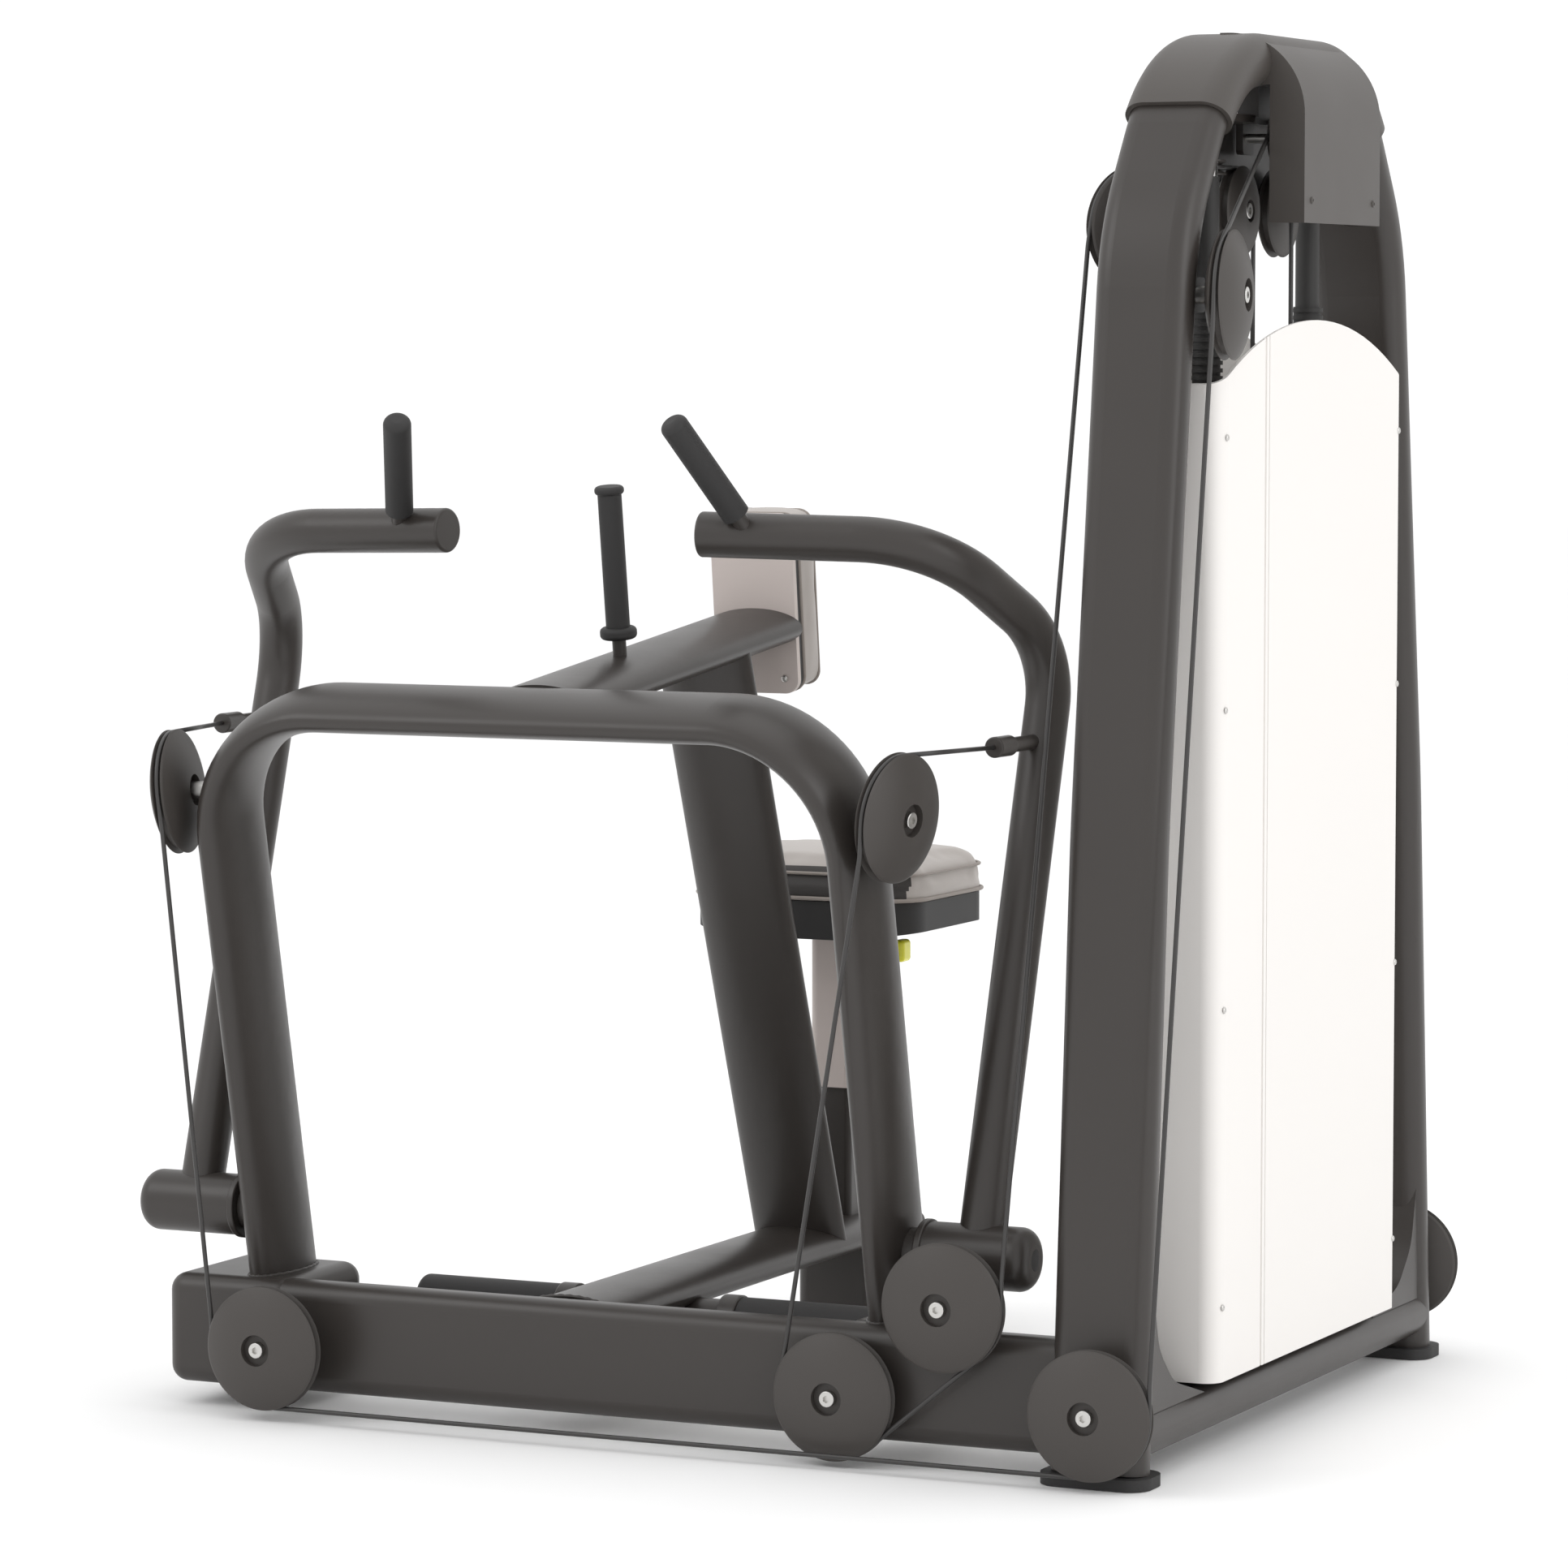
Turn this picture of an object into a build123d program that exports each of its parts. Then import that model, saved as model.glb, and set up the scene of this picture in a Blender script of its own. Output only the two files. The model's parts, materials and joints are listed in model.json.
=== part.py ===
"""Selectorised seated row station, modelled as separate pieces.

Millimetres.  X runs along the front base beam towards the weight tower, Y from the pulley side
towards the user's seat, Z up from the floor.  X = 0 is the plane of the mast, pad and seat, and
Y = 0 is the front face of the base beam.  The finished set is shifted at the end, so that the
origin is at the centre of the footprint.
"""
import os
from math import cos, degrees, radians, sin, tan

from build123d import *

os.makedirs("parts", exist_ok=True)

# ---- driving dimensions --------------------------------------------------------------------
BEAM_HEIGHT = 120.0
BEAM_DEPTH = 46.0
BEAM_BOTTOM = 24.0
BEAM_TOP = BEAM_BOTTOM + BEAM_HEIGHT
BEAM_LEFT = -330.0
BEAM_ROUND = 19.0

OVAL_WIDE = 118.0            # long axis of the oval frame tube
OVAL_THIN = 44.0             # short axis of the oval frame tube
HOOP_WIDE = 122.0

HOOP_HALF_SPAN = 370.0       # centre of a hoop leg from the mid plane
HOOP_LEAN = 12.2             # degrees from vertical, the top towards -Y
HOOP_FOOT_Y = 81.0
HOOP_TOP_Z = 772.0
HOOP_CORNER = 140.0

MAST_FOOT = (0.0, 632.0, 126.0)
MAST_HEAD = (0.0, 371.0, 826.0)
UPPER_BEAM_START = (0.0, -20.0, 777.9)
UPPER_BEAM_RISE = 6.35       # degrees
SPINE_CENTRE_Z = 121.0
SPINE_END_Y = 850.0

TOWER_X = 627.0
TOWER_MID_Y = 440.0
TOWER_HALF_FOOT = 434.0      # from the tower's middle to the foot of a leg
TOWER_TUBE_X = 104.0
TOWER_TUBE_Y = 46.0
TOWER_TUBE_ROUND = 21.5
TOWER_CROWN_Z = 1452.0       # centre line of the arch
FOOT_PAD = 12.0              # thickness of the rubber pads
WALL = 3.0                   # wall of the frame tubes
CAP_WALL = 5.5
LIP_Y = 201.0                # middle of the cap's lip on the front leg
LIP_Z = 1390.0
LIP_TILT = 38.0              # degrees of the lip's plane from level

ARM_X = 467.0
ARM_PIVOT_Y = 66.0
ARM_PIVOT_Z = 214.0
ARM_TUBE = 48.0              # diameter
HUB_RADIUS = 33.5
HUB_INNER_X = 405.0
HUB_OUTER_X = 530.0

PULLEY_RADIUS = 66.8
SMALL_PULLEY_RADIUS = 47.5
CAP_PULLEY_RADIUS = 36.8
GROOVE_DEPTH = 5.6
CABLE_RADIUS = 2.5
CABLE_LINE = 2.8             # how far inside the rim the cable's centre line runs
STUB = 30.0                  # straight run in a pulley's plane beside its rim
LEAD = 12.0                  # straight of the fixed run before its first and after its last contact

STACK_HALF_Y = 190.0
STACK_HALF_X = 55.0
PLATE = 25.0                 # pitch of the weight plates
PLATE_GAP = 0.4
STACK_BOTTOM = 112.0
RESTING_PLATES = 13
LIFTED_PLATES = 5
ROD_HALF_SPAN = 152.0
ROD_RADIUS = 11.0

SEAT_Y = 740.0
SEAT_HALF_X = 141.0
SEAT_TOP = 566.0
LEVER_Z = 450.0
LEVER_PIVOT_X = 26.0

PAD_CENTRE = (0.0, 507.0, 850.0)
PAD_HALF_X = 50.5
PAD_HEIGHT = 204.0

pieces = {}


# ---- helpers -------------------------------------------------------------------------------
def rod(start, end, radius):
    """A round bar between two points."""
    axis = Vector(*end) - Vector(*start)
    bar = Cylinder(radius, axis.length, align=(Align.CENTER, Align.CENTER, Align.MIN))
    return Plane(origin=start, z_dir=axis) * bar


def ring(start, end, radius, bore):
    """A tube between two points."""
    axis = (Vector(*end) - Vector(*start)).normalized()
    before = Vector(*start) - axis
    after = Vector(*end) + axis
    return rod(start, end, radius) - rod(tuple(before), tuple(after), bore)


def oval_bar(start, end, width, thin, side=(1, 0, 0)):
    """A straight oval tube, modelled solid, with its long axis along side."""
    axis = Vector(*end) - Vector(*start)
    face = Plane(origin=start, x_dir=side, z_dir=axis) * Ellipse(width / 2, thin / 2)
    return extrude(face, axis.length)


def slab(low, high, rounding=0.0, edges=None):
    """A box from its low corner to its high corner, with its edges along one axis rounded."""
    size = [b - a for a, b in zip(low, high)]
    centre = [(a + b) / 2 for a, b in zip(low, high)]
    box = Pos(*centre) * Box(*size)
    if rounding:
        chosen = box.edges() if edges is None else box.edges().filter_by(edges)
        box = fillet(chosen, rounding)
    return box


def mirror_x(shape):
    """The same piece on the other side of the mid plane."""
    return mirror(shape, Plane.YZ)


def both_sides(shape):
    return Compound([*shape.solids(), *mirror_x(shape).solids()])


def largest(shape):
    """The main solid of a cut, without its loose slivers."""
    return max(shape.solids(), key=lambda solid: solid.volume)


def keep(name, *shapes):
    """Keep every solid of the shapes under one name."""
    solids = [solid for shape in shapes for solid in shape.solids()]
    pieces[name] = solids[0] if len(solids) == 1 else Compound(solids)


# ---- pulleys and cable routes ---------------------------------------------------------------
class Pulley:
    """A grooved wheel: its centre, the direction of its axle and its rim radius."""

    def __init__(self, name, centre, axle, radius=PULLEY_RADIUS):
        self.name = name
        self.centre = Vector(*centre)
        self.axle = Vector(*axle).normalized()
        self.radius = radius
        self.line = radius - CABLE_LINE

    def plane(self):
        return Plane(origin=self.centre, z_dir=self.axle)

    def wheel(self):
        """Domed faces, a recess for the bolt head and a groove round the rim."""
        rim = self.radius
        bore = 5.3
        recess = 17.0 if rim > 50 else 12.0
        edge = 7.0
        dome = edge + (13.0 if rim > 50 else 7.0)
        floor = dome - 8.0
        groove = rim - GROOVE_DEPTH
        with BuildPart() as built:
            with BuildSketch(Plane.XZ):
                with BuildLine():
                    Polyline((bore, floor), (recess, floor), (recess, dome))
                    ThreePointArc((recess, dome), ((recess + rim) / 2, (dome + edge) / 2 + 2.2),
                                  (rim - 2.0, edge))
                    Polyline((rim - 2.0, edge), (rim, edge - 1.6), (rim, 5.0), (groove, 2.9),
                             (groove, -2.9), (rim, -5.0), (rim, 1.6 - edge), (rim - 2.0, -edge))
                    ThreePointArc((rim - 2.0, -edge),
                                  ((recess + rim) / 2, -(dome + edge) / 2 - 2.2),
                                  (recess, -dome))
                    Polyline((recess, -dome), (recess, -floor), (bore, -floor), (bore, floor))
                make_face()
            revolve(axis=Axis.Z)
        return self.plane() * built.part

    def face_height(self):
        """Distance from the middle of the wheel to the floor of its recess."""
        return 12.0 if self.radius > 50 else 6.0

    def bolt(self, back):
        """Socket bolt whose shank runs to back, measured behind the wheel's middle."""
        seat = self.face_height() + 0.4
        head = Pos(0, 0, seat) * Cylinder(8.5, 7, align=(Align.CENTER, Align.CENTER, Align.MIN))
        head = fillet(head.edges().group_by(Axis.Z)[-1], 1.2)
        hexagon = extrude(RegularPolygon(4.0, 6), 4)
        head -= Pos(0, 0, seat + 3.5) * hexagon
        shank = Pos(0, 0, -back) * Cylinder(
            5.0, back + seat, align=(Align.CENTER, Align.CENTER, Align.MIN))
        return self.plane() * (head + shank)

    def spacer(self, back, radius=9.0):
        """Round boss between the wheel and the frame, clear of the bolt."""
        front = self.face_height() + 0.4
        length = back - front
        sleeve = Pos(0, 0, -back) * (
            Cylinder(radius, length, align=(Align.CENTER, Align.CENTER, Align.MIN))
            - Cylinder(5.0, length, align=(Align.CENTER, Align.CENTER, Align.MIN)))
        return self.plane() * sleeve


def touch(pulley, sense, travel):
    """Where a cable that travels this way touches the pulley's cable line."""
    return pulley.centre + travel.cross(pulley.axle) * (sense * pulley.line)


def in_plane(pulley, direction):
    flat = direction - pulley.axle * direction.dot(pulley.axle)
    return flat.normalized()


class Route:
    """A taut cable from a fixed start, round pulleys, to a fixed last direction.

    stops is a list of (pulley, sense), where sense is +1 when the cable travels round the
    pulley by the right-hand rule about its axle.
    """

    def __init__(self, start, stops, last_direction):
        self.start = Vector(*start)
        self.stops = stops
        count = len(stops)
        centres = [pulley.centre for pulley, _ in stops]
        first = in_plane(stops[0][0], centres[0] - self.start)
        arrive = [first] + [in_plane(stops[i][0], centres[i] - centres[i - 1])
                            for i in range(1, count)]
        leave = [in_plane(stops[i][0], centres[i + 1] - centres[i]) for i in range(count - 1)]
        leave.append(Vector(*last_direction))
        for _ in range(25):
            enter = [touch(*stops[i], arrive[i]) for i in range(count)]
            depart = [touch(*stops[i], leave[i]) for i in range(count)]
            for i in range(count):
                before = depart[i - 1] if i else self.start
                arrive[i] = in_plane(stops[i][0], enter[i] - before)
                if i < count - 1:
                    leave[i] = in_plane(stops[i][0], enter[i + 1] - depart[i])
        self.enter = enter
        self.depart = depart
        self.arrive = arrive
        self.leave = leave

    def turn(self, index):
        """Angle in radians that the cable turns through round one pulley."""
        pulley, sense = self.stops[index]
        angle = self.arrive[index].get_signed_angle(self.leave[index], pulley.axle * sense)
        return radians(angle % 360)

    def lead_in(self):
        """Start of the fixed run, a short straight before the first contact."""
        return self.enter[0] - self.arrive[0] * LEAD

    def lead_out(self):
        """End of the fixed run, a short straight after the last contact."""
        return self.depart[-1] + self.leave[-1] * LEAD

    def line(self):
        """Centre line of the fixed run: straights joined by tangent arcs."""
        points = [self.lead_in()]
        radii = []
        for index, (pulley, _) in enumerate(self.stops):
            reach = pulley.line * tan(self.turn(index) / 2)
            if index and self.bend(index - 1, self.arrive[index]) > 0.3:
                points.append(self.enter[index] - self.arrive[index] * STUB)
                radii.append(pulley.line)
            points.append(self.enter[index] + self.arrive[index] * reach)
            radii.append(pulley.line)
            if index + 1 < len(self.stops) and self.bend(index, self.leave[index]) > 0.3:
                points.append(self.depart[index] + self.leave[index] * STUB)
                radii.append(pulley.line)
        points.append(self.lead_out())
        return FilletPolyline(*points, radius=radii)

    def bend(self, index, direction):
        """Angle in degrees between the free run after a pulley and a direction."""
        return (self.enter[index + 1] - self.depart[index]).get_angle(direction)


def cable(path):
    """Round cable of CABLE_RADIUS along a path."""
    start = Plane(origin=path @ 0, z_dir=path % 0)
    solid = sweep(start * Circle(CABLE_RADIUS), path=path)
    expected = 3.14159 * CABLE_RADIUS ** 2 * path.length
    print(f"cable {path.length:.0f} mm, volume ratio {solid.volume / expected:.4f}")
    return solid


def leaning(angle, down=0.0):
    """Axle along X, turned about Z by angle and tipped down, both in degrees."""
    level = cos(radians(down))
    return (cos(radians(angle)) * level, sin(radians(angle)) * level, -sin(radians(down)))


base_left = Pulley("base_pulley_left", (-321, -47, 78.8), (0, -1, 0))
base_inner = Pulley("base_pulley_inner", (343, -25, 73), (0, -1, 0))
base_outer = Pulley("base_pulley_outer", (466, -25, 174), (0, -1, 0))
base_tower = Pulley("base_pulley_tower", (637, -47, 78.8), (0, -1, 0))
hoop_right = Pulley("hoop_pulley_right", (423, -46, 676), leaning(-10.5, 6))
hoop_left = Pulley("hoop_pulley_left", (-423, -46, 676), leaning(180 + 10.5, 6))
rear_pulley = Pulley("tower_rear_pulley", (627, 927, 100), (0, 1, 0))
side_pulley = Pulley("tower_side_pulley", (697, 172, 1206), leaning(6.6))
back_pulley = Pulley("tower_back_pulley", (570.5, 250, 1276.7), leaning(180 - 35))
stack_front = Pulley("stack_pulley_front", (627, 380, 1296), (1, 0, 0), SMALL_PULLEY_RADIUS)
stack_rear = Pulley("stack_pulley_rear", (627, 500, 1296), (1, 0, 0), SMALL_PULLEY_RADIUS)
cap_pulley = Pulley("cap_pulley", (665, 415, 1373), leaning(6.6), CAP_PULLEY_RADIUS)
guide_roller = Pulley("guide_roller", (615, 334.3, 1340.7), (0, 0, 1), 14.8)
pulleys = [base_left, base_inner, base_outer, base_tower, hoop_right, hoop_left, rear_pulley,
           side_pulley, back_pulley, stack_front, stack_rear, cap_pulley]

ROD_TIP_Y = 112.0
ROD_TIP_Z = hoop_right.centre.Z + hoop_right.line - 1.0
ROD_X = 462.0
left_route = Route((-ROD_X, ROD_TIP_Y - 0.6, ROD_TIP_Z),
                   [(hoop_left, -1), (base_left, 1), (base_tower, 1), (side_pulley, -1),
                    (cap_pulley, -1)], (0, 0, -1))
right_route = Route((ROD_X, ROD_TIP_Y - 0.6, ROD_TIP_Z),
                     [(hoop_right, 1), (base_inner, 1), (base_outer, 1), (back_pulley, 1),
                     (guide_roller, 1), (stack_front, -1)], (0, 0, -1))


# ---- frame ---------------------------------------------------------------------------------
def leg_line():
    """Centre line of one tower leg and half of the arch, seen along X."""
    foot_y = TOWER_MID_Y - TOWER_HALF_FOOT
    near = [(foot_y, FOOT_PAD), (foot_y + 46, 660), (foot_y + 118, 1270), (foot_y + 244,
                                                                           TOWER_CROWN_Z)]
    far = [(2 * TOWER_MID_Y - y, z) for y, z in reversed(near)]
    return [(TOWER_X, y, z) for y, z in near + far]


def arch_body(grow):
    """The arch and its legs as a solid, with the tube's outside moved out by grow."""
    path = FilletPolyline(*leg_line(), radius=[1500, 240, 190, 190, 240, 1500])
    start = Plane(origin=path @ 0, x_dir=(1, 0, 0), z_dir=path % 0)
    section = start * RectangleRounded(TOWER_TUBE_X + 2 * grow, TOWER_TUBE_Y + 2 * grow,
                                       TOWER_TUBE_ROUND + grow)
    return sweep(section, path=path)


def tower_ring():
    """The arch, its two legs, the tube between their feet and the two filled corners."""
    arch = arch_body(0)
    low = FOOT_PAD
    half_x = TOWER_TUBE_X / 2
    front = TOWER_MID_Y - TOWER_HALF_FOOT
    back = TOWER_MID_Y + TOWER_HALF_FOOT
    sill = Pos(TOWER_X, front, 50) * Rot(-90, 0, 0) * extrude(
        RectangleRounded(TOWER_TUBE_X, 50, TOWER_TUBE_ROUND), back - front)
    sill_bore = Pos(TOWER_X, front + 30, 50) * Rot(-90, 0, 0) * extrude(
        RectangleRounded(TOWER_TUBE_X - 2 * WALL, 50 - 2 * WALL, TOWER_TUBE_ROUND - WALL),
        back - front - 60)
    reach = 150.0
    corner = make_face(Polyline((0, 0), (reach, 0), (reach * 0.42, reach * 0.16),
                                (reach * 0.14, reach * 0.42), (0, reach), close=True))
    corner = fillet(corner.vertices().sort_by_distance((reach * 0.3, reach * 0.3))[:2], 60)
    gusset = Plane(origin=(TOWER_X - half_x + 6, front + 24, 70), x_dir=(0, 1, 0),
                   z_dir=(1, 0, 0)) * extrude(corner, TOWER_TUBE_X - 12)
    mid = Plane(origin=(0, TOWER_MID_Y, 0), z_dir=(0, 1, 0))
    whole = arch + sill + gusset + mirror(gusset, mid)
    whole -= slab((TOWER_X - 90, front - 90, low - 80), (TOWER_X + 90, back + 90, low))
    side_arm = slab((640, 110, 1188), (664, 192, 1224), 10, Axis.X)
    back_arm = slab((602, 134, 1259), (634, 228, 1291), 8, Axis.Y)
    return largest(whole + side_arm + back_arm - arch_body(-WALL) - sill_bore)


def build_frame():
    """Welded frame members, each cut to the ones that it meets."""
    tower = tower_ring()
    beam = slab((BEAM_LEFT, 0, BEAM_BOTTOM), (TOWER_X, BEAM_DEPTH, BEAM_TOP), BEAM_ROUND, Axis.X)
    left_end = slab((-472, 0, BEAM_BOTTOM), (-318, 172, BEAM_TOP), BEAM_ROUND)
    right_end = slab((330, BEAM_DEPTH - 22, 50), (412, 160, BEAM_TOP), 16)
    wedge = make_face(Polyline((505, BEAM_DEPTH - 20), (TOWER_X, BEAM_DEPTH - 20),
                               (TOWER_X, 112), (590, 84), close=True))
    web = Pos(0, 0, BEAM_TOP - 34) * extrude(wedge, 26)
    beam_bore = slab((BEAM_LEFT + 20, WALL, BEAM_BOTTOM + WALL),
                     (TOWER_X - 60, BEAM_DEPTH - WALL, BEAM_TOP - WALL), BEAM_ROUND - WALL,
                     Axis.X)
    end_bore = slab((-472 + WALL, WALL, BEAM_BOTTOM + WALL), (-318 - WALL, 172 - WALL,
                                                             BEAM_TOP - WALL), 16)
    base = largest(beam + left_end + right_end + web - tower - beam_bore - end_bore)

    lean = radians(HOOP_LEAN)
    height = (HOOP_TOP_Z - BEAM_TOP) / cos(lean)
    leaned = Plane(origin=(0, HOOP_FOOT_Y, BEAM_TOP), x_dir=(1, 0, 0),
                   z_dir=(0, -cos(lean), -sin(lean)))
    corners = [(-HOOP_HALF_SPAN, -30), (-HOOP_HALF_SPAN, height), (HOOP_HALF_SPAN, height),
               (HOOP_HALF_SPAN, -30)]
    path = FilletPolyline(*[leaned.from_local_coords((x, y, 0)) for x, y in corners],
                          radius=HOOP_CORNER)
    start = Plane(origin=path @ 0, x_dir=leaned.z_dir, z_dir=path % 0)
    hoop = sweep(start * Ellipse(HOOP_WIDE / 2, OVAL_THIN / 2), path=path)
    hoop_bore = sweep(start * Ellipse(HOOP_WIDE / 2 - WALL, OVAL_THIN / 2 - WALL), path=path)
    hoop -= slab((-500, -100, -20), (500, 300, BEAM_TOP))
    hoop = largest(hoop - base - hoop_bore)

    spine = oval_bar((0, BEAM_DEPTH, SPINE_CENTRE_Z), (0, SPINE_END_Y, SPINE_CENTRE_Z),
                     OVAL_WIDE, OVAL_THIN)
    spine -= oval_bar((0, BEAM_DEPTH + 8, SPINE_CENTRE_Z), (0, SPINE_END_Y - 8, SPINE_CENTRE_Z),
                      OVAL_WIDE - 2 * WALL, OVAL_THIN - 2 * WALL)
    pedestal = slab((-50, SEAT_Y - 15, FOOT_PAD), (50, SEAT_Y + 85, SPINE_CENTRE_Z - 12), 14,
                    Axis.Z)
    pedestal -= slab((-47, SEAT_Y - 12, FOOT_PAD - 1), (47, SEAT_Y + 82, 96), 11, Axis.Z)
    pedestal -= oval_bar((0, BEAM_DEPTH, SPINE_CENTRE_Z), (0, SPINE_END_Y, SPINE_CENTRE_Z),
                         OVAL_WIDE - 1, OVAL_THIN - 1)
    end_plug = oval_bar((0, SPINE_END_Y - 1, SPINE_CENTRE_Z),
                        (0, SPINE_END_Y + 6, SPINE_CENTRE_Z), OVAL_WIDE, OVAL_THIN)
    spine = largest(spine + pedestal + fillet(end_plug.edges().group_by(Axis.Y)[-1], 4))
    rise = radians(UPPER_BEAM_RISE)
    run = Vector(0, cos(rise), sin(rise))
    upper_end = Vector(*UPPER_BEAM_START) + run * 560
    upper = oval_bar(UPPER_BEAM_START, tuple(upper_end), OVAL_WIDE, OVAL_THIN) - hoop - hoop_bore
    upper -= oval_bar(tuple(Vector(*UPPER_BEAM_START) + run * 20),
                      tuple(Vector(*UPPER_BEAM_START) + run * 515), OVAL_WIDE - 2 * WALL,
                      OVAL_THIN - 2 * WALL)
    upper = largest(upper - on_pad(Pos(0, 100, 0) * Box(300, 200, 500)) + grip_stem())
    mast = oval_bar(MAST_FOOT, MAST_HEAD, OVAL_WIDE - 4, OVAL_THIN)
    mast -= oval_bar(MAST_FOOT, MAST_HEAD, OVAL_WIDE - 4 - 2 * WALL, OVAL_THIN - 2 * WALL)
    skin = oval_bar((0, BEAM_DEPTH, SPINE_CENTRE_Z), (0, SPINE_END_Y, SPINE_CENTRE_Z),
                    OVAL_WIDE, OVAL_THIN)
    upper_skin = oval_bar(UPPER_BEAM_START, tuple(upper_end), OVAL_WIDE, OVAL_THIN)
    mast = largest(mast - skin - upper_skin)

    keep("tower_frame", tower)
    keep("base_beam", base)
    keep("hoop_frame", hoop)
    keep("spine_tube", spine)
    keep("upper_beam", upper)
    keep("mast_tube", mast)
    return tower, base, hoop, spine


def build_feet():
    """Rubber pads under the tower, the left end and the seat."""
    pads = [slab((TOWER_X - 60, y - 34, 0), (TOWER_X + 60, y + 34, FOOT_PAD), 24, Axis.Z)
            for y in (TOWER_MID_Y - TOWER_HALF_FOOT, TOWER_MID_Y + TOWER_HALF_FOOT)]
    pads.append(slab((-60, SEAT_Y - 25, 0), (60, SEAT_Y + 95, FOOT_PAD), 20, Axis.Z))
    pads.append(Pos(-437, 150, 0) * Cylinder(
        21, BEAM_BOTTOM, align=(Align.CENTER, Align.CENTER, Align.MIN)))
    keep("floor_feet", *pads)


def build_foot_rest():
    """Cross bar for the feet with its stop collars, and its two sleeves."""
    bar_y, bar_z, bar_radius = 245.0, 95.0, 22.0
    collar = fillet(rod((88, bar_y, bar_z), (110.5, bar_y, bar_z), 28.0).edges(), 2)
    bar = rod((-276, bar_y, bar_z), (276, bar_y, bar_z), bar_radius)
    bore = rod((-270, bar_y, bar_z), (270, bar_y, bar_z), bar_radius - WALL)
    outer = oval_bar((0, BEAM_DEPTH, SPINE_CENTRE_Z), (0, SPINE_END_Y, SPINE_CENTRE_Z),
                     OVAL_WIDE, OVAL_THIN)
    bar = bar + collar + mirror_x(collar) - bore - outer
    keep("foot_bar", *[solid for solid in bar.solids() if solid.volume > 500])
    sleeve = rod((111, bar_y, bar_z), (284, bar_y, bar_z), 26.0)
    sleeve = fillet(sleeve.edges().group_by(Axis.X)[-1], 8)
    sleeve -= rod((100, bar_y, bar_z), (276, bar_y, bar_z), bar_radius)
    keep("foot_sleeves", both_sides(sleeve))


def on_pad(shape):
    """Place a shape on the front of the chest pad, square to the upper beam."""
    return Pos(*PAD_CENTRE) * Rot(UPPER_BEAM_RISE, 0, 0) * Pos(0, 0, 14) * shape


def build_chest_pad():
    """Cover plate, board and cushion."""
    plate = fillet(Box(2 * PAD_HALF_X, 8, PAD_HEIGHT).edges().filter_by(Axis.Y), 16)
    keep("chest_pad_cover", on_pad(Pos(0, 4, 0) * plate))
    board = fillet(Box(2 * PAD_HALF_X - 3, 9, PAD_HEIGHT - 3).edges().filter_by(Axis.Y), 15)
    keep("chest_pad_board", on_pad(Pos(0, 12.5, 0) * board))
    cushion = fillet(Box(2 * PAD_HALF_X + 1, 62, PAD_HEIGHT + 2).edges().filter_by(Axis.Y), 17)
    cushion = fillet(cushion.faces().sort_by(Axis.Y)[-1].edges(), 14)
    keep("chest_pad_cushion", on_pad(Pos(0, 48.3, 0) * cushion))


GRIP_PLACE = Pos(0, 172.5, 802) * Rot(8, 0, 0)


def grip_stem():
    """Round stem of the centre grip, welded to the upper beam."""
    return GRIP_PLACE * Cylinder(7.5, 60, align=(Align.CENTER, Align.CENTER, Align.MIN))


def build_centre_grip():
    """Hand grip on the stem that stands on the upper beam."""
    length = 166.0
    grip = Pos(0, 0, 38) * Cylinder(13.0, length, align=(Align.CENTER, Align.CENTER, Align.MIN))
    low = Pos(0, 0, 38) * fillet(Cylinder(20, 13, align=(
        Align.CENTER, Align.CENTER, Align.MIN)).edges(), 5)
    high = Pos(0, 0, 38 + length - 9) * fillet(Cylinder(16, 9, align=(
        Align.CENTER, Align.CENTER, Align.MIN)).edges(), 4)
    keep("centre_grip", GRIP_PLACE * (grip + low + high) - grip_stem())


# ---- arms ----------------------------------------------------------------------------------
def arm_path():
    """Centre line of the right arm from its hub to the inner end of its handle bar."""
    return FilletPolyline((ARM_X, ARM_PIVOT_Y, ARM_PIVOT_Z), (ARM_X, 264, 838),
                          (405, 92, 952), (156, 61, 957), radius=[88, 128])


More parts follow.
